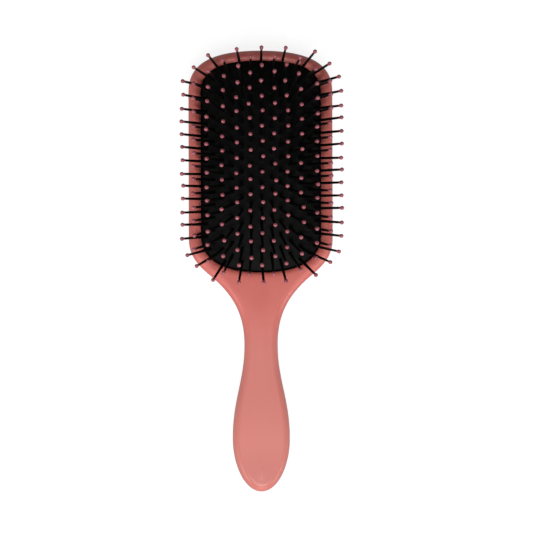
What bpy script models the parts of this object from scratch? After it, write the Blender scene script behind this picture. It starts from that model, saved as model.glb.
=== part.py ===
"""Paddle hair brush with an air cushion, lying on its back with its pins up.

Frame: +Z up, +Y from the handle towards the head, origin on the flat back of the head,
under the middle of the cushion. Lengths are in metres.

Each row of pins is one moulding: a flexible spine behind the rubber cushion that carries
every pin of that row, with a small round foot under each pin. A row's parent empty stands
on the axis about which the row rocks in the rubber.
"""

import math

import bmesh
import bpy
from mathutils import Vector, geometry

MM = 0.001

# Driving dimensions: the body.
HEAD_HALF_WIDTH = 40.0 * MM
HEAD_TOP_Y = 64.6 * MM
BUTT_Y = -180.5 * MM
NECK_Y = -99.0 * MM
NECK_HALF_WIDTH = 9.2 * MM
PALM_Y = -151.0 * MM
PALM_HALF_WIDTH = 15.85 * MM
HEAD_THICKNESS = 13.0 * MM
NECK_THICKNESS = 12.6 * MM
PALM_THICKNESS = 14.0 * MM
NECK_RISE = 1.2 * MM
EDGE_RADIUS = 4.0 * MM
CROWN = 0.35 * MM
PARTING_Z = 6.0 * MM
SIDE_HALF_HEIGHT = 1.4 * MM
GAP = 0.3 * MM

# Driving dimensions: what holds the cushion. Offsets are measured out from the cushion's outline.
WALL = 2.4 * MM
FLOOR_TOP_Z = 2.0 * MM
POCKET_OFFSET = 4.0 * MM
LIP_UNDERSIDE_Z = 10.5 * MM
MOUTH_OFFSET = 0.35 * MM
CHAMFER_OFFSET = 3.2 * MM
CLAMPED_OFFSET = POCKET_OFFSET - 0.4 * MM
CLAMP_INNER_OFFSET = -0.8 * MM
TRAY_PLATE = 1.5 * MM
TRAY_WALL = 2.0 * MM
TRAY_WALL_TOP_Z = 6.7 * MM
HOLLOW_TOP_Y = -71.0 * MM
CUT_THROUGH = 1.0 * MM

# Driving dimensions: the cushion.
PAD_HALF_WIDTH = 33.0 * MM
PAD_HALF_LENGTH = 58.5 * MM
PAD_EDGE_Z = 12.0 * MM
DOME_HEIGHT = 9.5 * MM
DOME_POWER_X = 2.8
DOME_POWER_Y = 3.2
PAD_THICKNESS = 1.8 * MM
FLANGE_THICKNESS = 1.6 * MM
HOLE_RADIUS = 1.7 * MM
SKIRT_GAP = 0.5 * MM

# Driving dimensions: the pins.
PIN_PITCH = 6.93 * MM
COLUMN_X = [0.0, 5.5 * MM, 10.45 * MM, 15.65 * MM, 21.1 * MM, 26.1 * MM, 30.3 * MM]
PINS_IN_COLUMN = [16, 15, 16, 15, 16, 15, 14]
PIN_EDGE_MARGIN = 2.7 * MM
PIN_LENGTH = 20.5 * MM
PIN_ROOT_RADIUS = 0.92 * MM
PIN_NECK_RADIUS = 0.65 * MM
BALL_RADIUS = 1.2 * MM
FOOT_RADIUS = 1.15 * MM
FOOT_CLEARANCE = 0.55 * MM
FOOT_THICKNESS = 0.9 * MM
LEAN_X = 0.9
LEAN_Y = 0.72
LEAN_POWER_X = 1.53
LEAN_POWER_Y = 1.16
END_LEAN = 0.4
END_LEAN_POWER = 8.0
LATTICE_SLANT = 0.029
PIN_SIDES = 4

Z_AXIS = Vector((0.0, 0.0, 1.0))


def material(name, colour, roughness, metallic=0.0):
    """A plain Principled BSDF finish."""
    made = bpy.data.materials.new(name)
    made.use_nodes = True
    shader = made.node_tree.nodes["Principled BSDF"]
    shader.inputs["Base Color"].default_value = (*colour, 1.0)
    shader.inputs["Roughness"].default_value = roughness
    shader.inputs["Metallic"].default_value = metallic
    made.diffuse_color = (*colour, 1.0)
    return made


def link(name, mesh, finish):
    """A new object in the scene, shaded smooth between its sharp edges."""
    mesh.shade_smooth()
    mesh.set_sharp_from_angle(angle=math.radians(35.0))
    mesh.materials.append(finish)
    made = bpy.data.objects.new(name, mesh)
    bpy.context.scene.collection.objects.link(made)
    return made


def mesh_of(bm, name):
    """The bmesh as a mesh whose faces point out."""
    bmesh.ops.recalc_face_normals(bm, faces=bm.faces)
    made = bpy.data.meshes.new(name)
    bm.to_mesh(made)
    bm.free()
    return made


def empty(name, place):
    made = bpy.data.objects.new(name, None)
    made.location = place
    bpy.context.scene.collection.objects.link(made)
    return made


def smooth_step(value, start, end):
    """0 before start, 1 after end, and a smooth S between them."""
    t = min(1.0, max(0.0, (value - start) / (end - start)))
    return t * t * (3.0 - 2.0 * t)


# ---------------------------------------------------------------- outlines


def bezier_half(curves):
    """The right half of an outline, from its top to its bottom, as one list of 2-D points.

    Each curve is (knot, handle, handle, knot, steps) in metres."""
    points = [Vector(curves[0][0])]
    for first, out_handle, in_handle, last, steps in curves:
        ends = (Vector(p).to_3d() for p in (first, out_handle, in_handle, last))
        points += [p.to_2d() for p in geometry.interpolate_bezier(*ends, steps + 1)[1:]]
    points[-1].x = 0.0
    return points


def body_half():
    """Right half of the body's outline: head, shoulder, neck, palm and butt."""
    side_top, side_low = 42.0 * MM, -40.0 * MM
    hip = (27.8 * MM, -60.8 * MM)
    w, n, p = HEAD_HALF_WIDTH, NECK_HALF_WIDTH, PALM_HALF_WIDTH
    return bezier_half([
        ((0, HEAD_TOP_Y), (28.5 * MM, HEAD_TOP_Y), (w, 56.6 * MM), (w, side_top), 10),
        ((w, side_top), (w, 15 * MM), (w, -13 * MM), (w, side_low), 2),
        ((w, side_low), (w, -50 * MM), (34.7 * MM, -55 * MM), hip, 6),
        (hip, (14.7 * MM, -71.7 * MM), (n, -83 * MM), (n, NECK_Y), 8),
        ((n, NECK_Y), (n, -119 * MM), (p, -129 * MM), (p, PALM_Y), 6),
        ((p, PALM_Y), (p, -166.5 * MM), (9 * MM, BUTT_Y), (0, BUTT_Y), 9),
    ])


def pad_half():
    """Right half of the cushion's outline, a little rounder at the handle's end."""
    w, length = PAD_HALF_WIDTH, PAD_HALF_LENGTH
    side_top, side_low = 41.0 * MM, -38.0 * MM
    return bezier_half([
        ((0, length), (24 * MM, length), (w, 52.5 * MM), (w, side_top), 9),
        ((w, side_top), (w, 13 * MM), (w, -13 * MM), (w, side_low), 3),
        ((w, side_low), (w, -51 * MM), (22 * MM, -length), (0, -length), 9),
    ])


def offset(half, distance):
    """The half outline moved outwards by distance, or inwards if it is negative."""
    moved = []
    for i, point in enumerate(half):
        along = half[min(i + 1, len(half) - 1)] - half[max(i - 1, 0)]
        if point.x == 0:
            along.y = 0.0
        outwards = Vector((-along.y, along.x)).normalized()
        moved.append(point + outwards * distance)
    return moved


def below(halves, top_y):
    """The parts of matching half outlines under top_y, each cut straight across there."""
    kept = [i for i in range(len(halves[0])) if max(half[i].y for half in halves) < top_y]
    return [
        [Vector((half[kept[0]].x, top_y)), *(half[i] for i in kept)] for half in halves
    ]


# ---------------------------------------------------------------- lofts


def loop_verts(bm, half, height):
    """The closed loop of a half outline: its right side, then its left. Height is a function of y."""
    right = [bm.verts.new((p.x, p.y, height(p.y))) for p in half]
    left = [
        v if abs(p.x) < 1e-7 else bm.verts.new((-p.x, p.y, height(p.y)))
        for p, v in zip(half, right)
    ]
    return right, left


def side_faces(bm, lower, upper):
    """Quads between two loops of the same half outline."""
    for a, b in ((lower[0], upper[0]), (lower[1], upper[1])):
        for i in range(len(a) - 1):
            bm.faces.new((a[i], a[i + 1], b[i + 1], b[i]))
    for end in (0, -1):
        if lower[0][end] is not lower[1][end]:
            bm.faces.new((lower[0][end], upper[0][end], upper[1][end], lower[1][end]))


def cap_faces(bm, loop, crown=0.0):
    """Closes a loop with a ladder of faces from its right side to its left, raised by crown in the middle."""
    right, left = loop
    middle = []
    for r, l in zip(right, left):
        if r is l or not crown:
            middle.append(r)
            continue
        centre = (r.co + l.co) / 2 + Z_AXIS * crown
        middle.append(bm.verts.new(centre))
    for i in range(len(right) - 1):
        for a, b in ((right, middle), (middle, left)):
            corners = []
            for v in (a[i], a[i + 1], b[i + 1], b[i]):
                if v not in corners:
                    corners.append(v)
            if len(corners) > 2:
                bm.faces.new(corners)


def loft(name, rings, finish, crown=0.0, ring_shape=False):
    """A closed solid through a list of (half outline, height function) rings.

    Its first and last rings are capped, or joined to each other when ring_shape is set."""
    bm = bmesh.new()
    loops = [loop_verts(bm, half, height) for half, height in rings]
    for lower, upper in zip(loops, loops[1:]):
        side_faces(bm, lower, upper)
    if ring_shape:
        side_faces(bm, loops[-1], loops[0])
    else:
        cap_faces(bm, loops[0])
        cap_faces(bm, loops[-1], crown)
    return link(name, mesh_of(bm, name), finish)


def level(z):
    return lambda y: z


def cut(target, *cutters):
    """Takes each cutter's shape out of target."""
    for cutter in cutters:
        cutter.hide_render = True
        cutter.display_type = "WIRE"
        modifier = target.modifiers.new(cutter.name, "BOOLEAN")
        modifier.operation = "DIFFERENCE"
        modifier.solver = "EXACT"
        modifier.object = cutter


# ---------------------------------------------------------------- body shells


def top_height(y):
    """Height of the front face over the back."""
    neck = smooth_step(-y, 60 * MM, -NECK_Y)
    palm = smooth_step(-y, -NECK_Y, -PALM_Y)
    return (
        HEAD_THICKNESS
        + (NECK_THICKNESS - HEAD_THICKNESS) * neck
        + (PALM_THICKNESS - NECK_THICKNESS) * palm
    )


def bottom_height(y):
    """Height of the back face: flat under the head, and raised a little under the neck."""
    return NECK_RISE * (smooth_step(-y, 60 * MM, -NECK_Y) - smooth_step(-y, -NECK_Y, -PALM_Y))


def rounded_rings(half, face_height, side_z):
    """Rings over the rounded edge from the side of the body to its front or back face."""
    rings = []
    for degrees in (0.0, 32.0, 60.0, 90.0):
        turn = math.radians(degrees)
        inwards = EDGE_RADIUS * (1.0 - math.cos(turn))
        rise = math.sin(turn)
        rings.append((
            offset(half, -inwards),
            lambda y, rise=rise: side_z + (face_height(y) - side_z) * rise,
        ))
    return rings


def handle_hollow(name, face_height, open_z, side_z, finish):
    """Cutter for the hollow of the handle, in one of the two shells."""
    half = body_half()
    outer, inner = below(
        [offset(half, -WALL), offset(half, -WALL - 0.5 * EDGE_RADIUS)], HOLLOW_TOP_Y
    )
    rings = [(outer, level(open_z)), (outer, level(side_z)), (inner, face_height)]
    return loft(name, rings, finish)


def front_frame(finish):
    """Front shell: the rim round the cushion and the front half of the handle."""
    half = body_half()
    side_z = PARTING_Z + SIDE_HALF_HEIGHT
    rings = [(half, level(PARTING_Z + GAP / 2)), *rounded_rings(half, top_height, side_z)]
    frame = loft("front_frame", rings, finish, crown=CROWN)
    pad = pad_half()
    mouth = [
        (offset(pad, MOUTH_OFFSET), level(LIP_UNDERSIDE_Z - CUT_THROUGH)),
        (offset(pad, MOUTH_OFFSET), level(PAD_EDGE_Z - 0.2 * MM)),
        (offset(pad, CHAMFER_OFFSET / 3), level(PAD_EDGE_Z + 0.6 * MM)),
        (offset(pad, CHAMFER_OFFSET), level(HEAD_THICKNESS + CUT_THROUGH)),
    ]
    pocket = [
        (offset(pad, POCKET_OFFSET), level(PARTING_Z - CUT_THROUGH)),
        (offset(pad, POCKET_OFFSET), level(LIP_UNDERSIDE_Z)),
    ]
    cut(
        frame,
        loft("cut_mouth", mouth, finish),
        loft("cut_front_pocket", pocket, finish),
        handle_hollow(
            "cut_front_hollow",
            lambda y: top_height(y) - WALL,
            PARTING_Z - CUT_THROUGH,
            side_z,
            finish,
        ),
    )
    return frame


def back_cover(finish):
    """Back shell: the flat back of the head and the back half of the handle."""
    half = body_half()
    side_z = PARTING_Z - SIDE_HALF_HEIGHT
    rings = [(half, level(PARTING_Z - GAP / 2)), *rounded_rings(half, bottom_height, side_z)]
    cover = loft("back_cover", rings, finish)
    pocket_half = offset(pad_half(), POCKET_OFFSET)
    pocket = [(pocket_half, level(FLOOR_TOP_Z)), (pocket_half, level(PARTING_Z + CUT_THROUGH))]
    cut(
        cover,
        loft("cut_back_pocket", pocket, finish),
        handle_hollow(
            "cut_back_hollow",
            lambda y: bottom_height(y) + FLOOR_TOP_Z,
            PARTING_Z + CUT_THROUGH,
            side_z,
            finish,
        ),
    )
    return cover


# ---------------------------------------------------------------- cushion


def cushion_tray(finish):
    """Tray that closes the air chamber behind the cushion."""
    pad = pad_half()
    bottom = FLOOR_TOP_Z + GAP
    wall_inner = CLAMPED_OFFSET - TRAY_WALL
    rings = [
        (offset(pad, CLAMPED_OFFSET), level(bottom)),
        (offset(pad, CLAMPED_OFFSET), level(TRAY_WALL_TOP_Z)),
        (offset(pad, wall_inner), level(TRAY_WALL_TOP_Z)),
        (offset(pad, wall_inner), level(bottom + TRAY_PLATE)),
    ]
    return loft("cushion_tray", rings, finish)


def clamp_ring(finish):
    """Flat ring between the tray's wall and the cushion's flange."""
    pad = pad_half()
    low, high = TRAY_WALL_TOP_Z + GAP, LIP_UNDERSIDE_Z - FLANGE_THICKNESS - 2 * GAP
    rings = [
        (offset(pad, CLAMPED_OFFSET), level(low)),
        (offset(pad, CLAMPED_OFFSET), level(high)),
        (offset(pad, CLAMP_INNER_OFFSET), level(high)),
        (offset(pad, CLAMP_INNER_OFFSET), level(low)),
    ]
    return loft("clamp_ring", rings, finish, ring_shape=True)


def dome_z(x, y):
    """Height of the cushion's outer surface."""
    across = 1.0 - min(1.0, abs(x) / PAD_HALF_WIDTH) ** DOME_POWER_X
    along = 1.0 - min(1.0, abs(y) / PAD_HALF_LENGTH) ** DOME_POWER_Y
    return PAD_EDGE_Z + DOME_HEIGHT * across * along


def pin_direction(x, y):
    """The unit vector along a pin that leaves the cushion at x, y: the pins fan out towards the edges."""
    reach = COLUMN_X[-1]
    lean_x = LEAN_X * (abs(x) / reach) ** LEAN_POWER_X
    flat = 1.0 - min(1.0, abs(x) / PAD_HALF_WIDTH) ** DOME_POWER_X
    lean_y = LEAN_Y * (abs(y) / PAD_HALF_LENGTH) ** LEAN_POWER_Y * flat
    lean_y += END_LEAN * (abs(y) / PAD_HALF_LENGTH) ** END_LEAN_POWER
    return Vector((math.copysign(lean_x, x), math.copysign(lean_y, y), 1.0)).normalized()


def depth_under(base, direction):
    """How far back along a pin's direction the cushion's inner surface lies."""
    depth = PAD_THICKNESS
    for _ in range(6):
        point = base - direction * depth
        depth += (point.z - (dome_z(point.x, point.y) - PAD_THICKNESS)) / direction.z
    return depth


def edge_limit_x(y):
    """The largest x at which a pin may stand at this y, PIN_EDGE_MARGIN inside the cushion's outline."""
    line = offset(pad_half(), -PIN_EDGE_MARGIN)
    limit = 0.0
    for a, b in zip(line, line[1:]):
        if min(a.y, b.y) <= y <= max(a.y, b.y) and a.y != b.y:
            limit = max(limit, a.x + (b.x - a.x) * (y - a.y) / (b.y - a.y))
    return limit


def row_bases(column):
    """Points on the cushion where one column's pins leave it. Columns run from -6 to 6 across the head."""
    count = PINS_IN_COLUMN[abs(column)]
    bases = []
    for i in range(count):
        column_x = math.copysign(COLUMN_X[abs(column)], column)
        y = (i - (count - 1) / 2) * PIN_PITCH + LATTICE_SLANT * column_x
        x = math.copysign(min(abs(column_x), edge_limit_x(y)), column)
        bases.append(Vector((x, y, dome_z(x, y))))
    return bases


def columns():
    last = len(COLUMN_X) - 1
    return range(-last, last + 1)


def whole_loop(half):
    """Both sides of a half outline as one closed list of points."""
    return [*half, *(Vector((-p.x, p.y)) for p in reversed(half[1:-1]))]


def cushion_pad(finish):
    """Rubber cushion: a domed sheet with a hole for each pin, a skirt and a clamped flange."""
    pad = pad_half()
    rim = whole_loop(offset(pad, -SKIRT_GAP))
    inside = whole_loop(offset(pad, -SKIRT_GAP - PAD_THICKNESS))
    flange = whole_loop(offset(pad, CLAMPED_OFFSET))
    flange_top = LIP_UNDERSIDE_Z - GAP
    flange_bottom = flange_top - FLANGE_THICKNESS

    points = list(rim)
    outer_places = [Vector((*p, PAD_EDGE_Z)) for p in rim]
    inner_places = [Vector((*p, PAD_EDGE_Z - SKIRT_GAP)) for p in inside]
    edges = [(i, (i + 1) % len(rim)) for i in range(len(rim))]
    hole_of = [None] * len(rim)
    bases = [base for column in columns() for base in row_bases(column)]
    for hole, base in enumerate(bases):
        direction = pin_direction(base.x, base.y)
        start = len(points)
        for quarter in range(4):
            turn = math.radians(90.0 * quarter)
            point = base.to_2d() + Vector((math.cos(turn), math.sin(turn))) * HOLE_RADIUS
            place = Vector((*point, dome_z(*point)))
            points.append(point)
            outer_places.append(place)
            inner_places.append(place - direction * depth_under(base, direction))
            edges.append((start + quarter, start + (quarter + 1) % 4))
            hole_of.append(hole)

    flat, _, triangles, origins, _, _ = geometry.delaunay_2d_cdt(points, edges, [], 1, 1e-9)
    source = [origin[0] for origin in origins]
    bm = bmesh.new()
    outer = {s: bm.verts.new(outer_places[s]) for s in source}
    inner = {s: bm.verts.new(inner_places[s]) for s in source}
    for triangle in triangles:
        corners = [source[i] for i in triangle]
        owners = {hole_of[s] for s in corners}
        if len(owners) == 1 and None not in owners:
            continue
        bm.faces.new([outer[s] for s in corners])
        bm.faces.new([inner[s] for s in reversed(corners)])
    for start, end in edges[len(rim):]:
        bm.faces.new((outer[start], outer[end], inner[end], inner[start]))

    loops = [[outer[i] for i in range(len(rim))]]
    for outline, z in (
        (rim, flange_top),
        (flange, flange_top),
        (flange, flange_bottom),
        (inside, flange_bottom),
    ):
        loops.append([bm.verts.new((*p, z)) for p in outline])
    loops.append([inner[i] for i in range(len(rim))])
    for a, b in zip(loops, loops[1:]):
        for i, j in edges[: len(rim)]:
            bm.faces.new((a[i], a[j], b[j], b[i]))
    return link("cushion_pad", mesh_of(bm, "cushion_pad"), finish)


# ---------------------------------------------------------------- rows of pins


def pin_rings(bm, base):
    """One pin's rings of vertices, from under its foot to its ball tip, and the point of the tip."""
    direction = pin_direction(base.x, base.y)
    along = (Vector((0, 1, 0)) - direction * direction.y).normalized()
    across = direction.cross(along)
    foot_top = -depth_under(base, direction) - FOOT_CLEARANCE
    profile = [
        (foot_top - FOOT_THICKNESS, FOOT_RADIUS),
        (foot_top, FOOT_RADIUS),
        (foot_top, PIN_ROOT_RADIUS),
        (PIN_LENGTH - BALL_RADIUS, PIN_NECK_RADIUS),
        (PIN_LENGTH, BALL_RADIUS),
    ]
    rings = []
    for distance, radius in profile:
        centre = base + direction * distance
        ring = []
        for side in range(PIN_SIDES):
            turn = math.tau * (side + 0.5) / PIN_SIDES
            spoke = along * math.cos(turn) + across * math.sin(turn)
            ring.append(bm.verts.new(centre + spoke * radius))
        rings.append(ring)
    return rings, bm.verts.new(base + direction * (PIN_LENGTH + BALL_RADIUS))


def bristle_row(column, number, finish, pivot):
    """One moulded row: feet joined by a flat spine, and a pin with a ball tip on each foot."""
    bm = bmesh.new()
    pins = []
    for base in row_bases(column):
        rings, point = pin_rings(bm, base)
        pins.append(rings)
        for side in range(PIN_SIDES):
            bm.faces.new((rings[-1][side], rings[-1][(side + 1) % PIN_SIDES], point))
    front, back = PIN_SIDES - 1, PIN_SIDES // 2 - 1
    for i, rings in enumerate(pins):
        for level_index, (lower, upper) in enumerate(zip(rings, rings[1:])):
            for side in range(PIN_SIDES):
                joined = level_index == 0 and (
                    (side == front and i < len(pins) - 1) or (side == back and i > 0)
                )
                if not joined:
                    after = (side + 1) % PIN_SIDES
                    bm.faces.new((lower[side], lower[after], upper[after], upper[side]))
        bm.faces.new(rings[0])
    for here, there in zip(pins, pins[1:]):
        near = [here[0][front], here[0][0], here[1][0], here[1][front]]
        far = [there[0][back + 1], there[0][back], there[1][back], there[1][back + 1]]
        for k in range(4):
            after = (k + 1) % 4
            bm.faces.new((near[k], near[after], far[after], far[k]))
    name = f"bristle_row_{number:02d}"
    mesh = mesh_of(bm, name)
    mesh.transform(pivot.matrix_basis.inverted())
    made = link(name, mesh, finish)
    made.parent = pivot
    return made


def row_pivot(column, number):
    """Empty on the axis about which a row rocks: along Y, at the mean height of its pins' feet."""
    bases = row_bases(column)
    height = sum(base.z for base in bases) / len(bases) - PAD_THICKNESS / 2
    place = (math.copysign(COLUMN_X[abs(column)], column), 0.0, height)
    return empty(f"row_{number:02d}_axis", place)


def main():
    for old in list(bpy.data.objects):
        bpy.data.objects.remove(old)
    coral = material("coral_shell", (0.62, 0.20, 0.17), 0.5)
    liner = material("black_liner", (0.02, 0.02, 0.022), 0.6)
    rubber = material("black_rubber", (0.012, 0.012, 0.012), 0.7)
    nylon = material("black_nylon", (0.01, 0.01, 0.01), 0.35)
    front_frame(coral)
    back_cover(coral)
    cushion_tray(liner)
    clamp_ring(liner)
    cushion_pad(rubber)
    for number, column in enumerate(columns(), start=1):
        pivot = row_pivot(column, number)
        bpy.context.view_layer.update()
        bristle_row(column, number, nylon, pivot)


main()
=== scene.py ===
"""Paddle hair brush with an air cushion: its finished surfaces, built round the CAD frame.

Frame: +Z up from the flat back, +Y from the handle towards the head, origin under the
middle of the cushion. Lengths are in metres.

The two shells are lofts. A loop of edges follows the body's outline and is drawn out ring
by ring: over the rounded edge, across the face, and down into the mouth that holds the
rubber cushion. The cushion is the same kind of loft, and the pins are turned shapes.
"""

import math
import random

import bmesh
import bpy
from mathutils import Matrix, Vector, geometry, kdtree


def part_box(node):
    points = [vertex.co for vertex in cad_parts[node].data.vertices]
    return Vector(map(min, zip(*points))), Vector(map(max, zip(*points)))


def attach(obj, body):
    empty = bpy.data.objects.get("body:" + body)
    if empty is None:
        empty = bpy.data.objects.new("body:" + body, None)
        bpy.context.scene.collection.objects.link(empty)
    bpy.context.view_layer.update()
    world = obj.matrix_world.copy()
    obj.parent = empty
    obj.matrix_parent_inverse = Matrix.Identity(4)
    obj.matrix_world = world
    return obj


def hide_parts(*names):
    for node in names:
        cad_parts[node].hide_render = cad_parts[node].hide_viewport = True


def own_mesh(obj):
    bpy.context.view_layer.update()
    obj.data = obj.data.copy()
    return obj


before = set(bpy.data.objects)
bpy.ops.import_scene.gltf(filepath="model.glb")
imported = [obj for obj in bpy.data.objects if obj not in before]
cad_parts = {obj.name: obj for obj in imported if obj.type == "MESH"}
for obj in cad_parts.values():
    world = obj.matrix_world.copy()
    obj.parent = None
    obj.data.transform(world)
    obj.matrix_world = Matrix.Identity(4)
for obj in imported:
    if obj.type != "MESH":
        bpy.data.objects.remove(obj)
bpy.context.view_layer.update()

MM = 0.001

# The body, as the frame has it.
FRONT_LOW, FRONT_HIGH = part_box("front_frame")
HEAD_HALF_WIDTH = FRONT_HIGH.x
HEAD_TOP_Y = FRONT_HIGH.y
BUTT_Y = FRONT_LOW.y
NECK_Y = -99.0 * MM
NECK_HALF_WIDTH = 9.2 * MM
PALM_Y = -151.0 * MM
PALM_HALF_WIDTH = 15.85 * MM
HEAD_THICKNESS = 13.0 * MM
NECK_THICKNESS = 12.6 * MM
PALM_THICKNESS = 14.0 * MM
NECK_RISE = 1.2 * MM
EDGE_RADIUS = 4.0 * MM
CROWN = 0.35 * MM
NECK_START_Y = -60.0 * MM
CROWN_START_Y = -55.0 * MM
CROWN_FULL_Y = -85.0 * MM
PARTING_Z = 6.0 * MM
SIDE_HALF_HEIGHT = 1.4 * MM
SEAM_GAP = 0.14 * MM
SEAM_CHAMFER = 0.16 * MM
EDGE_STEPS = 10
FACE_STEPS = 8

# Where the faces close on the centre line.
HANDLE_LINE_END_Y = BUTT_Y + 12.0 * MM
BACK_LINE_START_Y = HEAD_TOP_Y - 30.0 * MM
FLOOR_LINE_INSET = 30.0 * MM
DOME_LINE_INSET = 26.0 * MM

# What holds the cushion, measured out from the cushion's outline.
MOUTH_OFFSET = 0.35 * MM
MOUTH_FILLET_WIDTH = 2.85 * MM
MOUTH_FILLET_DEPTH = 1.4 * MM
LIP_UNDERSIDE_Z = 10.5 * MM
POCKET_OFFSET = 4.0 * MM
FLOOR_TOP_Z = 2.0 * MM

# The cushion.
PAD_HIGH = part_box("cushion_pad")[1]
CLAMPED_OFFSET = 3.6 * MM
PAD_HALF_WIDTH = PAD_HIGH.x - CLAMPED_OFFSET
PAD_HALF_LENGTH = PAD_HIGH.y - CLAMPED_OFFSET
PAD_EDGE_Z = 12.0 * MM
DOME_HEIGHT = 9.5 * MM
DOME_POWER_X = 2.8
DOME_POWER_Y = 3.2
SKIRT_GAP = 0.5 * MM
PAD_THICKNESS = 1.8 * MM
FLANGE_TOP_Z = 10.2 * MM
FLANGE_THICKNESS = 1.6 * MM
SKIRT_TOP_Z = PAD_EDGE_Z - 0.6 * MM
ROLL_GAP = 0.25 * MM
ROLL_START = -0.6 * MM
ROLL_END = 3.0 * MM
BOSS_HEIGHT = 0.45 * MM
BOSS_TOP_RADIUS = 0.7 * MM
BOSS_RADIUS = 2.3 * MM
DOME_STEPS = 46

# The pins.
PIN_PITCH = 6.93 * MM
COLUMN_X = [0.0, 5.5 * MM, 10.45 * MM, 15.65 * MM, 21.1 * MM, 26.1 * MM, 30.3 * MM]
PINS_IN_COLUMN = [16, 15, 16, 15, 16, 15, 14]
PIN_EDGE_MARGIN = 2.7 * MM
PIN_LENGTH = 20.5 * MM
PIN_HOLE_RADIUS = 0.96 * MM
PIN_ROOT_RADIUS = 0.92 * MM
PIN_MIDDLE_RADIUS = 0.78 * MM
PIN_NECK_RADIUS = 0.65 * MM
FOOT_RADIUS = 1.15 * MM
FOOT_TOP = -2.35 * MM
FOOT_BOTTOM = -3.25 * MM
ROOT_TOP = 0.6 * MM
PIN_MIDDLE = 9.0 * MM
BALL_RADIUS = 1.2 * MM
SLEEVE_LENGTH = 0.4 * MM
SLEEVE_RADIUS = 0.73 * MM
LEAN_X = 0.9
LEAN_Y = 0.72
LEAN_POWER_X = 1.53
LEAN_POWER_Y = 1.16
END_LEAN = 0.4
END_LEAN_POWER = 8.0
LATTICE_SLANT = 0.029
PIN_SIDES = 8
STRAY = 0.018
STRAY_SEED = 11

# The outline's steps, from the head's top to the butt. The head's steps match the cushion's one by one.
CORNER_STEPS = 24
SIDE_STEPS = 20
HIP_STEPS = 12
NECK_STEPS = 24
GRIP_STEPS = 16
BUTT_STEPS = 24
HEAD_STEPS = CORNER_STEPS + SIDE_STEPS + 2 * HIP_STEPS
CUSHION_FINENESS = 4


def smooth_step(value, start, end):
    """0 before start, 1 after end, and a smooth S between them."""
    t = min(1.0, max(0.0, (value - start) / (end - start)))
    return t * t * (3.0 - 2.0 * t)


# ---------------------------------------------------------------- outlines


def bezier_half(curves):
    """The right half of an outline, from its top to its bottom.

    A curve is (knot, handle, handle, knot, steps)."""
    points = [Vector(curves[0][0])]
    for first, out_handle, in_handle, last, steps in curves:
        ends = (Vector(p).to_3d() for p in (first, out_handle, in_handle, last))
        points += [p.to_2d() for p in geometry.interpolate_bezier(*ends, steps + 1)[1:]]
    points[-1].x = 0.0
    return points


def body_half():
    """Right half of the body's outline: head, shoulder, neck, palm and butt."""
    side_top, side_low = 42.0 * MM, -40.0 * MM
    hip = (27.8 * MM, -60.8 * MM)
    w, n, p = HEAD_HALF_WIDTH, NECK_HALF_WIDTH, PALM_HALF_WIDTH
    return bezier_half([
        ((0, HEAD_TOP_Y), (28.5 * MM, HEAD_TOP_Y), (w, 56.6 * MM), (w, side_top), CORNER_STEPS),
        ((w, side_top), (w, 15 * MM), (w, -13 * MM), (w, side_low), SIDE_STEPS),
        ((w, side_low), (w, -50 * MM), (34.7 * MM, -55 * MM), hip, HIP_STEPS),
        (hip, (14.7 * MM, -71.7 * MM), (n, -83 * MM), (n, NECK_Y), NECK_STEPS),
        ((n, NECK_Y), (n, -119 * MM), (p, -129 * MM), (p, PALM_Y), GRIP_STEPS),
        ((p, PALM_Y), (p, -166.5 * MM), (9 * MM, BUTT_Y), (0, BUTT_Y), BUTT_STEPS),
    ])


def pad_half(fineness=1):
    """Right half of the cushion's outline, a little rounder at the handle's end."""
    w, length = PAD_HALF_WIDTH, PAD_HALF_LENGTH
    side_top, side_low = 41.0 * MM, -38.0 * MM
    corner, side = CORNER_STEPS * fineness, SIDE_STEPS * fineness
    return bezier_half([
        ((0, length), (24 * MM, length), (w, 52.5 * MM), (w, side_top), corner),
        ((w, side_top), (w, 13 * MM), (w, -13 * MM), (w, side_low), side),
        ((w, side_low), (w, -51 * MM), (22 * MM, -length), (0, -length), corner),
    ])


def offset(half, distance):
    """The half outline moved outwards by distance, or inwards if it is negative."""
    moved = []
    for i, point in enumerate(half):
        along = half[min(i + 1, len(half) - 1)] - half[max(i - 1, 0)]
        if point.x == 0:
            along.y = 0.0
        outwards = Vector((-along.y, along.x)).normalized()
        moved.append(point + outwards * distance)
    return moved


def centre_line(half, start_y, end_y):
    """For each point of a half outline, a point on the centre line between start_y and end_y."""
    first, last = half[0].y, half[-1].y
    return [Vector((0, start_y + (end_y - start_y) * (first - p.y) / (first - last))) for p in half]


# ---------------------------------------------------------------- lofts


def lay(half, height):
    """Both sides of a half outline as a closed loop of 3-D points. Height is a function of the 2-D point."""
    right = [Vector((p.x, p.y, height(p))) for p in half]
    left = [Vector((-p.x, p.y, p.z)) for p in reversed(right[1:-1])]
    return right + left


def level(z):
    return lambda point: z


def between(start, end, share):
    return [a.lerp(b, share) for a, b in zip(start, end)]


def start_loop(bm, points):
    """A closed loop of edges through the points. Each vertex keeps its number in the loop."""
    number = bm.verts.layers.int.new("number")
    known = set(bm.edges)
    verts = bmesh.ops.create_circle(bm, segments=len(points), radius=1.0)["verts"]
    for i, (vert, point) in enumerate(zip(verts, points)):
        vert[number] = i
        vert.co = point
    return [edge for edge in bm.edges if edge not in known]


def draw_out(bm, edges, points):
    """Extrudes the edges, lays the new vertices on the points of their numbers, and gives the new edges."""
    number = bm.verts.layers.int["number"]
    made = bmesh.ops.extrude_edge_only(bm, edges=edges)["geom"]
    for vert in made:
        if isinstance(vert, bmesh.types.BMVert):
            vert.co = points[vert[number]]
    return [edge for edge in made if isinstance(edge, bmesh.types.BMEdge)]


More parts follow.
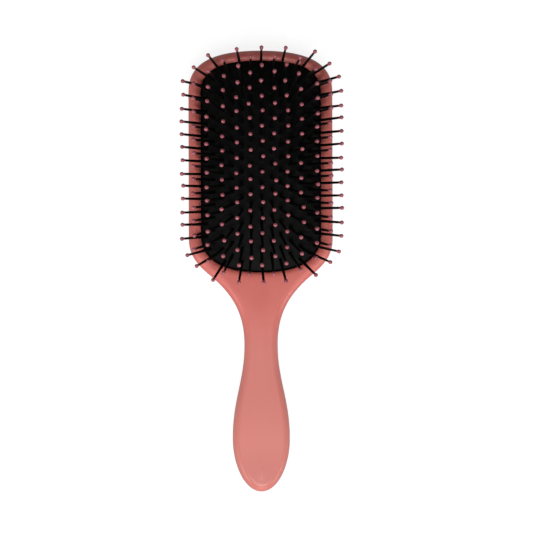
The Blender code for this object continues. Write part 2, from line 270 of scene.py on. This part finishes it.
def round_head(bm, edges, total):
    """The edges of a body loop that follow the cushion, without those that lie along the handle."""
    number = bm.verts.layers.int["number"]
    return [
        edge
        for edge in edges
        if all(v[number] <= HEAD_STEPS or v[number] >= total - HEAD_STEPS for v in edge.verts)
    ]


def finished(bm, name, finish, sharp_degrees=38.0):
    """The bmesh as a piece of the scene, closed, facing out and shaded smooth."""
    bmesh.ops.remove_doubles(bm, verts=bm.verts, dist=2e-7)
    bmesh.ops.recalc_face_normals(bm, faces=bm.faces)
    mesh = bpy.data.meshes.new(name)
    bm.to_mesh(mesh)
    bm.free()
    mesh.shade_smooth()
    mesh.set_sharp_from_angle(angle=math.radians(sharp_degrees))
    mesh.materials.append(finish)
    piece = bpy.data.objects.new(name, mesh)
    bpy.context.scene.collection.objects.link(piece)
    return piece


# ---------------------------------------------------------------- shells


def top_height(point):
    """Height of the front face over the back."""
    neck = smooth_step(-point.y, -NECK_START_Y, -NECK_Y)
    palm = smooth_step(-point.y, -NECK_Y, -PALM_Y)
    return (
        HEAD_THICKNESS
        + (NECK_THICKNESS - HEAD_THICKNESS) * neck
        + (PALM_THICKNESS - NECK_THICKNESS) * palm
    )


def bottom_height(point):
    """Height of the back face: flat under the head, and raised a little under the neck."""
    neck = smooth_step(-point.y, -NECK_START_Y, -NECK_Y)
    palm = smooth_step(-point.y, -NECK_Y, -PALM_Y)
    return NECK_RISE * (neck - palm)


def over_the_edge(bm, edges, half, face_height, side_z):
    """Draws the loop up or down the side of the body and over its rounded edge."""
    for step in range(EDGE_STEPS + 1):
        turn = 0.5 * math.pi * step / EDGE_STEPS
        inset = offset(half, -EDGE_RADIUS * (1.0 - math.cos(turn)))
        rise = math.sin(turn)
        points = lay(inset, lambda p, rise=rise: side_z + (face_height(p) - side_z) * rise)
        edges = draw_out(bm, edges, points)
    return edges, inset


def across(bm, edges, start, end, height, steps=FACE_STEPS):
    """Draws the loop across a face, from one half outline to another.

    Height takes the point and the share of the way."""
    for step in range(1, steps + 1):
        share = step / steps
        points = lay(between(start, end, share), lambda p, share=share: height(p, share))
        edges = draw_out(bm, edges, points)
    return edges


def inner_targets(half, pad_offset):
    """Where the body's loop lands on a face: round the cushion, or on the handle's centre line."""
    round_pad = offset(pad_half(), pad_offset)
    handle = centre_line(half[HEAD_STEPS:], round_pad[-1].y, HANDLE_LINE_END_Y)
    return [*round_pad, *handle[1:]]


def front_shell(finish):
    """Front shell: the handle's front, the rim, and the mouth that the cushion swells out of."""
    bm = bmesh.new()
    half = body_half()
    seam_z = PARTING_Z + SEAM_GAP / 2
    seam = offset(half, -SEAM_CHAMFER)
    seam_edges = start_loop(bm, lay(seam, level(seam_z)))
    total = len(seam_edges)
    edges = draw_out(bm, seam_edges, lay(half, level(seam_z + SEAM_CHAMFER)))
    side_z = PARTING_Z + SIDE_HALF_HEIGHT
    edges, inset = over_the_edge(bm, edges, half, top_height, side_z)

    def crowned(point, share):
        on_handle = smooth_step(-point.y, -CROWN_START_Y, -CROWN_FULL_Y)
        return top_height(point) + CROWN * on_handle * smooth_step(share, 0.0, 1.0)

    mouth = inner_targets(half, MOUTH_OFFSET + MOUTH_FILLET_WIDTH)
    edges = across(bm, edges, inset, mouth, crowned)
    edges = round_head(bm, edges, total)
    for step in range(1, EDGE_STEPS + 1):
        turn = 0.5 * math.pi * step / EDGE_STEPS
        out = MOUTH_OFFSET + MOUTH_FILLET_WIDTH * (1.0 - math.sin(turn))
        z = HEAD_THICKNESS - MOUTH_FILLET_DEPTH * (1.0 - math.cos(turn))
        edges = draw_out(bm, edges, lay(inner_targets(half, out), level(z)))
    lip = inner_targets(half, MOUTH_OFFSET)
    pocket = inner_targets(half, POCKET_OFFSET)
    for outline, z in ((lip, LIP_UNDERSIDE_Z), (pocket, LIP_UNDERSIDE_Z), (pocket, seam_z)):
        edges = draw_out(bm, edges, lay(outline, level(z)))
    across(bm, seam_edges, seam, pocket, lambda p, share: seam_z, steps=2)
    return finished(bm, "front_shell", finish)


def back_shell(finish):
    """Back shell: the flat back of the head, the back of the handle, and the pocket for the air chamber."""
    bm = bmesh.new()
    half = body_half()
    seam_z = PARTING_Z - SEAM_GAP / 2
    seam = offset(half, -SEAM_CHAMFER)
    seam_edges = start_loop(bm, lay(seam, level(seam_z)))
    total = len(seam_edges)
    edges = draw_out(bm, seam_edges, lay(half, level(seam_z - SEAM_CHAMFER)))
    side_z = PARTING_Z - SIDE_HALF_HEIGHT
    edges, inset = over_the_edge(bm, edges, half, bottom_height, side_z)
    middle = centre_line(half, BACK_LINE_START_Y, HANDLE_LINE_END_Y)
    across(bm, edges, inset, middle, lambda p, share: bottom_height(p))

    pocket = inner_targets(half, POCKET_OFFSET)
    edges = across(bm, seam_edges, seam, pocket, lambda p, share: seam_z, steps=2)
    edges = round_head(bm, edges, total)
    edges = draw_out(bm, edges, lay(pocket, level(FLOOR_TOP_Z)))
    around = pocket[: HEAD_STEPS + 1]
    reach = PAD_HALF_LENGTH - FLOOR_LINE_INSET
    floor = centre_line(around, reach, -reach)
    floor += pocket[HEAD_STEPS + 1 :]
    across(bm, edges, pocket, floor, lambda p, share: FLOOR_TOP_Z, steps=1)
    return finished(bm, "back_shell", finish)


# ---------------------------------------------------------------- cushion


def dome_z(x, y):
    """Height of the cushion's outer surface."""
    across_share = 1.0 - min(1.0, abs(x) / PAD_HALF_WIDTH) ** DOME_POWER_X
    along_share = 1.0 - min(1.0, abs(y) / PAD_HALF_LENGTH) ** DOME_POWER_Y
    return PAD_EDGE_Z + DOME_HEIGHT * across_share * along_share


def pin_direction(x, y):
    """The unit vector along a pin that leaves the cushion at x, y: the pins fan out towards the edges."""
    reach = COLUMN_X[-1]
    lean_x = LEAN_X * (abs(x) / reach) ** LEAN_POWER_X
    flat = 1.0 - min(1.0, abs(x) / PAD_HALF_WIDTH) ** DOME_POWER_X
    lean_y = LEAN_Y * (abs(y) / PAD_HALF_LENGTH) ** LEAN_POWER_Y * flat
    lean_y += END_LEAN * (abs(y) / PAD_HALF_LENGTH) ** END_LEAN_POWER
    return Vector((math.copysign(lean_x, x), math.copysign(lean_y, y), 1.0)).normalized()


def edge_limit_x(y):
    """The largest x at which a pin may stand at this y, PIN_EDGE_MARGIN inside the cushion's outline."""
    line = offset(pad_half(), -PIN_EDGE_MARGIN)
    limit = 0.0
    for a, b in zip(line, line[1:]):
        if min(a.y, b.y) <= y <= max(a.y, b.y) and a.y != b.y:
            limit = max(limit, a.x + (b.x - a.x) * (y - a.y) / (b.y - a.y))
    return limit


def row_bases(column):
    """Points on the cushion where one column's pins leave it. Columns run from -6 to 6 across the head."""
    count = PINS_IN_COLUMN[abs(column)]
    bases = []
    for i in range(count):
        column_x = math.copysign(COLUMN_X[abs(column)], column)
        y = (i - (count - 1) / 2) * PIN_PITCH + LATTICE_SLANT * column_x
        x = math.copysign(min(abs(column_x), edge_limit_x(y)), column)
        bases.append(Vector((x, y, dome_z(x, y))))
    return bases


def columns():
    last = len(COLUMN_X) - 1
    return range(-last, last + 1)


def lookup(points):
    """A search tree that gives the distance from a 2-D point to the nearest of these points."""
    tree = kdtree.KDTree(len(points))
    for i, point in enumerate(points):
        tree.insert((point.x, point.y, 0.0), i)
    tree.balance()
    return lambda point: tree.find((point.x, point.y, 0.0))[2]


def rubber_cushion(finish):
    """Rubber air cushion: a dome with a boss round each pin, a skirt, and a flange under the lip."""
    bm = bmesh.new()
    pad = pad_half(CUSHION_FINENESS)
    rim = offset(pad, -SKIRT_GAP)
    inside = offset(pad, -SKIRT_GAP - PAD_THICKNESS)
    flange = offset(pad, CLAMPED_OFFSET)
    flange_bottom = FLANGE_TOP_Z - FLANGE_THICKNESS
    from_rim = lookup(rim + [Vector((-p.x, p.y)) for p in rim])
    from_pin = lookup([base for column in columns() for base in row_bases(column)])

    def surface(point, share=0.0):
        edge = smooth_step(from_rim(point), ROLL_START, ROLL_END)
        boss = 1.0 - smooth_step(from_pin(point), BOSS_TOP_RADIUS, BOSS_RADIUS)
        return PAD_EDGE_Z + (dome_z(point.x, point.y) - PAD_EDGE_Z) * edge + BOSS_HEIGHT * boss

    def underside(point, share=0.0):
        return dome_z(point.x, point.y) - PAD_THICKNESS

    inner_edges = start_loop(bm, lay(inside, level(flange_bottom)))
    edges = inner_edges
    for outline, z in (
        (flange, flange_bottom),
        (flange, FLANGE_TOP_Z),
        (rim, FLANGE_TOP_Z),
        (rim, SKIRT_TOP_Z),
    ):
        edges = draw_out(bm, edges, lay(outline, level(z)))
    swell = offset(pad, -SKIRT_GAP - ROLL_GAP)
    edges = draw_out(bm, edges, lay(swell, surface))
    reach = PAD_HALF_LENGTH - DOME_LINE_INSET
    middle = centre_line(pad, reach, -reach)
    across(bm, edges, swell, middle, surface, steps=DOME_STEPS)
    edges = draw_out(bm, inner_edges, lay(inside, level(PAD_EDGE_Z - SKIRT_GAP)))
    across(bm, edges, inside, middle, underside)
    return finished(bm, "rubber_cushion", finish, sharp_degrees=60.0)


# ---------------------------------------------------------------- pins


def turned(profile):
    """A closed shape turned round Z from (radius, height) pairs that start and end on the axis."""
    bm = bmesh.new()
    verts = [bm.verts.new((radius, 0.0, z)) for radius, z in profile]
    edges = [bm.edges.new(pair) for pair in zip(verts, verts[1:])]
    bmesh.ops.spin(
        bm,
        geom=verts + edges,
        cent=(0, 0, 0),
        axis=(0, 0, 1),
        dvec=(0, 0, 0),
        angle=math.tau,
        steps=PIN_SIDES,
        use_merge=True,
        use_duplicate=False,
    )
    bmesh.ops.remove_doubles(bm, verts=bm.verts, dist=1e-7)
    bmesh.ops.recalc_face_normals(bm, faces=bm.faces)
    mesh = bpy.data.meshes.new("turned")
    bm.to_mesh(mesh)
    bm.free()
    return mesh


def pin_shape():
    """One pin and its foot. Its foot lies under the rubber, and height 0 is the rubber's surface."""
    return turned([
        (0.0, FOOT_BOTTOM),
        (FOOT_RADIUS, FOOT_BOTTOM),
        (FOOT_RADIUS, FOOT_TOP),
        (PIN_HOLE_RADIUS, FOOT_TOP),
        (PIN_ROOT_RADIUS, ROOT_TOP),
        (PIN_MIDDLE_RADIUS, PIN_MIDDLE),
        (PIN_NECK_RADIUS, PIN_LENGTH - BALL_RADIUS),
        (0.0, PIN_LENGTH),
    ])


def tip_shape():
    """One ball tip with the short sleeve that the dip leaves on the pin."""
    sleeve_end = PIN_LENGTH - BALL_RADIUS - SLEEVE_LENGTH
    profile = [(0.0, sleeve_end), (SLEEVE_RADIUS, sleeve_end)]
    for degrees in (-52.0, -18.0, 18.0, 54.0, 90.0):
        turn = math.radians(degrees)
        profile.append((BALL_RADIUS * math.cos(turn), PIN_LENGTH + BALL_RADIUS * math.sin(turn)))
    profile[-1] = (0.0, profile[-1][1])
    return turned(profile)


def pin_places(column, strays):
    """A matrix for each pin of a column: on the cushion, leaning outwards, and a little astray."""
    places = []
    for base in row_bases(column):
        stray = Vector((strays.gauss(0.0, STRAY), strays.gauss(0.0, STRAY), 0.0))
        direction = (pin_direction(base.x, base.y) + stray).normalized()
        turn = Matrix.Rotation(strays.uniform(0.0, math.tau), 4, "Z")
        lean = direction.to_track_quat("Z", "Y").to_matrix().to_4x4()
        places.append(Matrix.Translation(base) @ lean @ turn)
    return places


def planted(bm, shape, places, tints):
    """Adds a copy of the shape at each place, with its tint on every vertex."""
    for place, tint in zip(places, tints):
        known = len(bm.verts)
        bm.from_mesh(shape)
        bm.verts.ensure_lookup_table()
        fresh = bm.verts[known:]
        tint_layer = bm.verts.layers.float["tint"]
        for vert in fresh:
            vert[tint_layer] = tint
        bmesh.ops.transform(bm, matrix=place, verts=fresh)


def add_spine(bm, places):
    """The flat strip under the rubber that joins the feet of a row."""
    depth, half_width, half_height = 2.8 * MM, 0.5 * MM, 0.3 * MM
    corners = [(-half_width, -half_height), (half_width, -half_height)]
    corners += [(half_width, half_height), (-half_width, half_height)]
    edges = None
    for place in places:
        middle = place @ Vector((0.0, 0.0, -depth))
        points = [middle + Vector((x, 0.0, z)) for x, z in corners]
        if edges is None:
            edges = start_loop(bm, points)
            ends = list(edges)
        else:
            edges = draw_out(bm, edges, points)
    for end in (ends, edges):
        bmesh.ops.contextual_create(bm, geom=end)


def row_of_pins(column, number, nylon, resin, strays):
    """One row: its nylon pins on their spine, and their ball tips."""
    places = pin_places(column, strays)
    tints = [strays.random() for _ in places]
    made = []
    for name, shape, finish in (
        (f"pins_row_{number:02d}", pin_shape(), nylon),
        (f"ball_tips_row_{number:02d}", tip_shape(), resin),
    ):
        bm = bmesh.new()
        bm.verts.layers.float.new("tint")
        if finish is nylon:
            add_spine(bm, places)
        planted(bm, shape, places, tints)
        made.append(finished(bm, name, finish, sharp_degrees=50.0))
    return made


# ---------------------------------------------------------------- finishes

CORAL_DEEP = (0.595, 0.121, 0.097)
CORAL = (0.62, 0.13, 0.105)
CORAL_LIGHT = (0.645, 0.141, 0.115)
# Painted light: a paler, whiter coral laid over the neck and palm.
CORAL_GRIP_PAINTED_LIGHT = (0.672, 0.198, 0.164)
# Painted shade: a darker coral laid over the handle's end at the butt.
CORAL_BUTT_PAINTED_SHADE = (0.585, 0.158, 0.128)
CORAL_RUBBED = (0.72, 0.26, 0.22)
RUBBER_DEEP = (0.0012, 0.0012, 0.0011)
RUBBER = (0.0018, 0.0019, 0.0017)
RUBBER_BLOOM = (0.0032, 0.0035, 0.0029)
RUBBER_RUBBED = (0.008, 0.0085, 0.007)
NYLON_DEEP = (0.0015, 0.0015, 0.0016)
NYLON_LIGHT = (0.004, 0.0036, 0.0036)
ROSE_DEEP = (0.3, 0.062, 0.085)
ROSE_LIGHT = (0.43, 0.11, 0.14)
ROSE_POOLED = (0.26, 0.055, 0.07)
LINER_DEEP = (0.014, 0.014, 0.015)
LINER_LIGHT = (0.026, 0.026, 0.027)
LINER_RUBBED = (0.06, 0.06, 0.06)
STUDIO_WHITE = (1.0, 1.0, 1.0, 1.0)
FLOOR_GREY = (0.25, 0.25, 0.25, 1.0)


def node_group(name, inputs, outputs):
    """An empty shader group. Inputs are (socket type, name, default) and outputs (socket type, name)."""
    group = bpy.data.node_groups.new(name, "ShaderNodeTree")
    for kind, label, default in inputs:
        socket = group.interface.new_socket(label, in_out="INPUT", socket_type=kind)
        socket.default_value = default
    for kind, label in outputs:
        group.interface.new_socket(label, in_out="OUTPUT", socket_type=kind)
    return group, group.nodes.new("NodeGroupInput"), group.nodes.new("NodeGroupOutput")


def noise_node(tree, coordinates, scale, detail, roughness=0.5):
    made = tree.nodes.new("ShaderNodeTexNoise")
    made.inputs["Scale"].default_value = scale
    made.inputs["Detail"].default_value = detail
    made.inputs["Roughness"].default_value = roughness
    tree.links.new(coordinates, made.inputs["Vector"])
    return made


def grain_group():
    """Moulded grain: a fine stipple on a slow unevenness, as a height and as a mask from 0 to 1."""
    group, inputs, outputs = node_group(
        "moulded_grain",
        [("NodeSocketFloat", "Stipple Scale", 2500.0), ("NodeSocketFloat", "Stipple", 0.5)],
        [("NodeSocketFloat", "Height"), ("NodeSocketFloat", "Mask")],
    )
    place = group.nodes.new("ShaderNodeTexCoord")
    stipple = noise_node(group, place.outputs["Object"], 2500.0, 3.0, 0.6)
    group.links.new(inputs.outputs["Stipple Scale"], stipple.inputs["Scale"])
    slow = noise_node(group, place.outputs["Object"], 55.0, 4.0, 0.55)
    mix = group.nodes.new("ShaderNodeMix")
    group.links.new(inputs.outputs["Stipple"], mix.inputs["Factor"])
    group.links.new(slow.outputs["Fac"], mix.inputs["A"])
    group.links.new(stipple.outputs["Fac"], mix.inputs["B"])
    group.links.new(mix.outputs["Result"], outputs.inputs["Height"])
    group.links.new(slow.outputs["Fac"], outputs.inputs["Mask"])
    return group


def handling_group():
    """Signs of handling: a mask of edges rubbed a little, and a mask of faint smudges."""
    group, inputs, outputs = node_group(
        "handling",
        [("NodeSocketFloat", "Edge Start", 0.52), ("NodeSocketFloat", "Edge End", 0.62)],
        [("NodeSocketFloat", "Edges"), ("NodeSocketFloat", "Smudges")],
    )
    shape = group.nodes.new("ShaderNodeNewGeometry")
    edges = group.nodes.new("ShaderNodeMapRange")
    edges.interpolation_type = "SMOOTHSTEP"
    group.links.new(shape.outputs["Pointiness"], edges.inputs["Value"])
    group.links.new(inputs.outputs["Edge Start"], edges.inputs["From Min"])
    group.links.new(inputs.outputs["Edge End"], edges.inputs["From Max"])
    place = group.nodes.new("ShaderNodeTexCoord")
    patches = noise_node(group, place.outputs["Object"], 38.0, 6.0, 0.62)
    smudges = group.nodes.new("ShaderNodeMapRange")
    smudges.interpolation_type = "SMOOTHSTEP"
    smudges.inputs["From Min"].default_value = 0.48
    smudges.inputs["From Max"].default_value = 0.72
    group.links.new(patches.outputs["Fac"], smudges.inputs["Value"])
    group.links.new(edges.outputs["Result"], outputs.inputs["Edges"])
    group.links.new(smudges.outputs["Result"], outputs.inputs["Smudges"])
    return group


class Finish:
    """A material with one Principled BSDF, and short ways to wire it."""

    def __init__(self, name, specular, roughness=0.5):
        self.material = bpy.data.materials.new(name)
        self.material.use_nodes = True
        self.tree = self.material.node_tree
        self.shader = self.tree.nodes["Principled BSDF"]
        self.shader.inputs["Roughness"].default_value = roughness
        self.shader.inputs["Specular IOR Level"].default_value = specular

    def group(self, group, **values):
        node = self.tree.nodes.new("ShaderNodeGroup")
        node.node_tree = group
        for label, value in values.items():
            node.inputs[label.replace("_", " ")].default_value = value
        return node

    def ramp(self, value, stops):
        """A colour ramp over the value, from (position, colour) stops."""
        node = self.tree.nodes.new("ShaderNodeValToRGB")
        elements = node.color_ramp.elements
        while len(elements) < len(stops):
            elements.new(0.5)
        for element, (position, colour) in zip(elements, stops):
            element.position = position
            element.color = (*colour, 1.0)
        self.tree.links.new(value, node.inputs["Fac"])
        return node.outputs["Color"]

    def mix(self, value, low, high):
        """A colour between low and high, each of which is an output or a plain colour."""
        node = self.tree.nodes.new("ShaderNodeMix")
        node.data_type = "RGBA"
        self.tree.links.new(value, node.inputs["Factor"])
        for label, colour in (("A", low), ("B", high)):
            socket = [s for s in node.inputs if s.name == label and s.type == "RGBA"][0]
            if isinstance(colour, tuple):
                socket.default_value = (*colour, 1.0)
            else:
                self.tree.links.new(colour, socket)
        return [s for s in node.outputs if s.type == "RGBA"][0]

    def span(self, value, low, high, start=0.0, end=1.0):
        """The value spread smoothly between low and high as it goes from start to end."""
        node = self.tree.nodes.new("ShaderNodeMapRange")
        node.interpolation_type = "SMOOTHSTEP"
        node.inputs["From Min"].default_value = start
        node.inputs["From Max"].default_value = end
        node.inputs["To Min"].default_value = low
        node.inputs["To Max"].default_value = high
        self.tree.links.new(value, node.inputs["Value"])
        return node.outputs["Result"]

    def place(self, axis):
        """The place on the brush along one axis, in metres."""
        place = self.tree.nodes.new("ShaderNodeTexCoord")
        parts = self.tree.nodes.new("ShaderNodeSeparateXYZ")
        self.tree.links.new(place.outputs["Object"], parts.inputs["Vector"])
        return parts.outputs[axis]

    def colour(self, output):
        self.tree.links.new(output, self.shader.inputs["Base Color"])

    def roughness(self, output):
        self.tree.links.new(output, self.shader.inputs["Roughness"])

    def bump(self, height, distance, strength=0.4):
        node = self.tree.nodes.new("ShaderNodeBump")
        node.inputs["Strength"].default_value = strength
        node.inputs["Distance"].default_value = distance
        self.tree.links.new(height, node.inputs["Height"])
        self.tree.links.new(node.outputs["Normal"], self.shader.inputs["Normal"])


def coral_soft_touch(grain, handling):
    """Soft-touch lacquer in coral over moulded plastic, with painted light on the grip and painted shade at
    the butt's end.
    """
    finish = Finish("coral_soft_touch", specular=0.6)
    finish.shader.inputs["Sheen Weight"].default_value = 0.06
    finish.shader.inputs["Sheen Roughness"].default_value = 0.45
    finish.shader.inputs["Coat Weight"].default_value = 0.2
    finish.shader.inputs["Coat Roughness"].default_value = 0.2
    moulded = finish.group(grain, Stipple_Scale=2300.0, Stipple=0.75)
    worn = finish.group(handling, Edge_Start=0.515, Edge_End=0.6)
    body = finish.ramp(
        moulded.outputs["Mask"],
        [(0.25, CORAL_DEEP), (0.5, CORAL), (0.78, CORAL_LIGHT)],
    )
    along = finish.place("Y")
    # Painted light: the neck and palm are mixed towards a paler, whiter coral that stands in for light and
    # sheen on the grip.
    grip_painted_light = finish.span(along, 1.0, 0.0, start=-112 * MM, end=-70 * MM)
    body = finish.mix(grip_painted_light, body, CORAL_GRIP_PAINTED_LIGHT)
    # Painted shade: towards the butt's end the coral is mixed darker, to dim the light there.
    butt = finish.span(along, 1.0, 0.0, start=-178 * MM, end=-150 * MM)
    body = finish.mix(butt, body, CORAL_BUTT_PAINTED_SHADE)
    finish.colour(finish.mix(finish.span(worn.outputs["Edges"], 0.0, 0.35), body, CORAL_RUBBED))
    finish.roughness(finish.span(worn.outputs["Smudges"], 0.54, 0.44))
    finish.bump(moulded.outputs["Height"], 0.00006, 0.35)
    return finish.material


def black_rubber(grain, handling):
    """Matt black rubber with a faint bloom."""
    finish = Finish("black_rubber", specular=0.12)
    moulded = finish.group(grain, Stipple_Scale=1700.0, Stipple=0.6)
    worn = finish.group(handling, Edge_Start=0.52, Edge_End=0.68)
    body = finish.ramp(
        moulded.outputs["Mask"],
        [(0.3, RUBBER_DEEP), (0.55, RUBBER), (0.8, RUBBER_BLOOM)],
    )
    finish.colour(finish.mix(finish.span(worn.outputs["Edges"], 0.0, 0.5), body, RUBBER_RUBBED))
    finish.roughness(finish.span(worn.outputs["Smudges"], 0.74, 0.62))
    finish.bump(moulded.outputs["Height"], 0.0001, 0.4)
    return finish.material


def black_nylon(grain, handling):
    """Semi-gloss black nylon, each pin of a slightly different black."""
    finish = Finish("black_nylon", specular=0.2)
    moulded = finish.group(grain, Stipple_Scale=3200.0, Stipple=0.5)
    worn = finish.group(handling)
    tint = finish.tree.nodes.new("ShaderNodeAttribute")
    tint.attribute_name = "tint"
    finish.colour(finish.mix(tint.outputs["Fac"], NYLON_DEEP, NYLON_LIGHT))
    finish.roughness(finish.span(worn.outputs["Smudges"], 0.3, 0.42))
    finish.bump(moulded.outputs["Height"], 0.00004, 0.3)
    return finish.material


def rose_resin(grain, handling):
    """Rose-coloured dipped resin, thicker and deeper in colour on some tips than on others."""
    finish = Finish("rose_resin", specular=0.5)
    finish.shader.inputs["Coat Weight"].default_value = 0.25
    finish.shader.inputs["Coat Roughness"].default_value = 0.25
    moulded = finish.group(grain, Stipple_Scale=2800.0, Stipple=0.4)
    worn = finish.group(handling)
    tint = finish.tree.nodes.new("ShaderNodeAttribute")
    tint.attribute_name = "tint"
    body = finish.mix(tint.outputs["Fac"], ROSE_DEEP, ROSE_LIGHT)
    finish.colour(finish.mix(finish.span(moulded.outputs["Mask"], 0.0, 0.3), body, ROSE_POOLED))
    finish.roughness(finish.span(worn.outputs["Smudges"], 0.36, 0.46))
    finish.bump(moulded.outputs["Height"], 0.00005, 0.25)
    return finish.material


def black_liner(grain, handling):
    """Plain black moulded plastic for the parts behind the cushion."""
    finish = Finish("black_liner", specular=0.4)
    moulded = finish.group(grain, Stipple_Scale=1500.0, Stipple=0.8)
    worn = finish.group(handling, Edge_Start=0.52, Edge_End=0.66)
    body = finish.ramp(moulded.outputs["Mask"], [(0.3, LINER_DEEP), (0.75, LINER_LIGHT)])
    finish.colour(finish.mix(finish.span(worn.outputs["Edges"], 0.0, 0.4), body, LINER_RUBBED))
    finish.roughness(finish.span(worn.outputs["Smudges"], 0.6, 0.5))
    finish.bump(moulded.outputs["Height"], 0.00012, 0.4)
    return finish.material


# ---------------------------------------------------------------- studio


def seen_or_lit(tree, seen, lit):
    """A strength with one value as the camera sees it and another as it lights the brush."""
    path = tree.nodes.new("ShaderNodeLightPath")
    spread = tree.nodes.new("ShaderNodeMapRange")
    spread.inputs["To Min"].default_value = lit
    spread.inputs["To Max"].default_value = seen
    tree.links.new(path.outputs["Is Camera Ray"], spread.inputs["Value"])
    return spread.outputs["Result"]


def studio_floor():
    """A plain white floor, bright to look at and dim as a light, so that the sides keep their shade."""
    bm = bmesh.new()
    bmesh.ops.create_circle(bm, cap_ends=True, segments=96, radius=30.0)
    mesh = bpy.data.meshes.new("studio_floor")
    bm.to_mesh(mesh)
    bm.free()
    white = Finish("studio_white", specular=0.0, roughness=0.9)
    white.shader.inputs["Base Color"].default_value = FLOOR_GREY
    white.shader.inputs["Emission Color"].default_value = STUDIO_WHITE
    strength = seen_or_lit(white.tree, seen=0.86, lit=0.25)
    white.tree.links.new(strength, white.shader.inputs["Emission Strength"])
    mesh.materials.append(white.material)
    floor = bpy.data.objects.new("studio_floor", mesh)
    floor.location.z = -0.2 * MM
    bpy.context.scene.collection.objects.link(floor)


def softbox(name, place, target, size, power):
    """A square area light that faces the target."""
    lamp = bpy.data.lights.new(name, "AREA")
    lamp.shape = "SQUARE"
    lamp.size = size
    lamp.energy = power
    made = bpy.data.objects.new(name, lamp)
    made.location = place
    made.rotation_euler = (Vector(target) - Vector(place)).to_track_quat("-Z", "Y").to_euler()
    made.visible_camera = False
    bpy.context.scene.collection.objects.link(made)


def studio_lights():
    grip = (0.0, -0.10, 0.01)
    softbox("key_above_handle_end", (0.02, -0.64, 1.12), grip, 0.6, 11.0)
    softbox("low_from_handle_end", (0.0, -1.4, 0.33), grip, 0.6, 4.0)
    softbox("low_from_left", (-1.0, -0.75, 0.3), grip, 0.5, 5.0)
    softbox("low_from_right", (1.0, -0.75, 0.3), grip, 0.5, 5.0)
    softbox("fill_from_left", (-0.9, 0.4, 1.0), grip, 0.8, 2.0)
    world = bpy.context.scene.world or bpy.data.worlds.new("studio")
    bpy.context.scene.world = world
    world.use_nodes = True
    background = world.node_tree.nodes["Background"]
    background.inputs["Color"].default_value = STUDIO_WHITE
    strength = seen_or_lit(world.node_tree, seen=0.87, lit=0.1)
    world.node_tree.links.new(strength, background.inputs["Strength"])


def studio_camera():
    """A long lens almost straight above, a little to the left and towards the handle."""
    distance, view_width = 2.5, 0.2964
    target = Vector((0.00315, -0.0555, 0.006))
    back = Vector((-0.033, -0.02, 1.0)).normalized()
    lens = bpy.data.cameras.new("camera")
    lens.sensor_width = 36.0
    lens.lens = lens.sensor_width * distance / view_width
    lens.clip_start, lens.clip_end = 0.1, 50.0
    camera = bpy.data.objects.new("camera", lens)
    up = back.cross(Vector((1.0, -0.0022, 0.0))).normalized()
    turn = Matrix((up.cross(back), up, back)).transposed()
    camera.location = target + back * distance
    camera.rotation_euler = turn.to_euler()
    bpy.context.scene.collection.objects.link(camera)
    bpy.context.scene.camera = camera


# ---------------------------------------------------------------- assembly


def main():
    bpy.context.scene.view_settings.view_transform = "Standard"
    grain, handling = grain_group(), handling_group()
    coral = coral_soft_touch(grain, handling)
    rubber = black_rubber(grain, handling)
    nylon = black_nylon(grain, handling)
    resin = rose_resin(grain, handling)
    liner = black_liner(grain, handling)

    for build, node in ((front_shell, "front_frame"), (back_shell, "back_cover")):
        shell = build(coral)
        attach(shell, "handle")
        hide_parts(node)

    cushion = rubber_cushion(rubber)
    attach(cushion, "handle")
    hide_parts("cushion_pad")
    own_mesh(cushion)

    strays = random.Random(STRAY_SEED)
    for number, column in enumerate(columns(), start=1):
        pins, tips = row_of_pins(column, number, nylon, resin, strays)
        for piece, slot in ((pins, "black_nylon"), (tips, "rose_resin")):
            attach(piece, f"row_{number:02d}")
        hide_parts(f"bristle_row_{number:02d}")

    for node in ("cushion_tray", "clamp_ring"):
        cad_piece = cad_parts[node]
        for i in range(len(cad_piece.material_slots)):
            cad_piece.material_slots[i].material = liner

    studio_floor()
    studio_lights()
    studio_camera()


main()
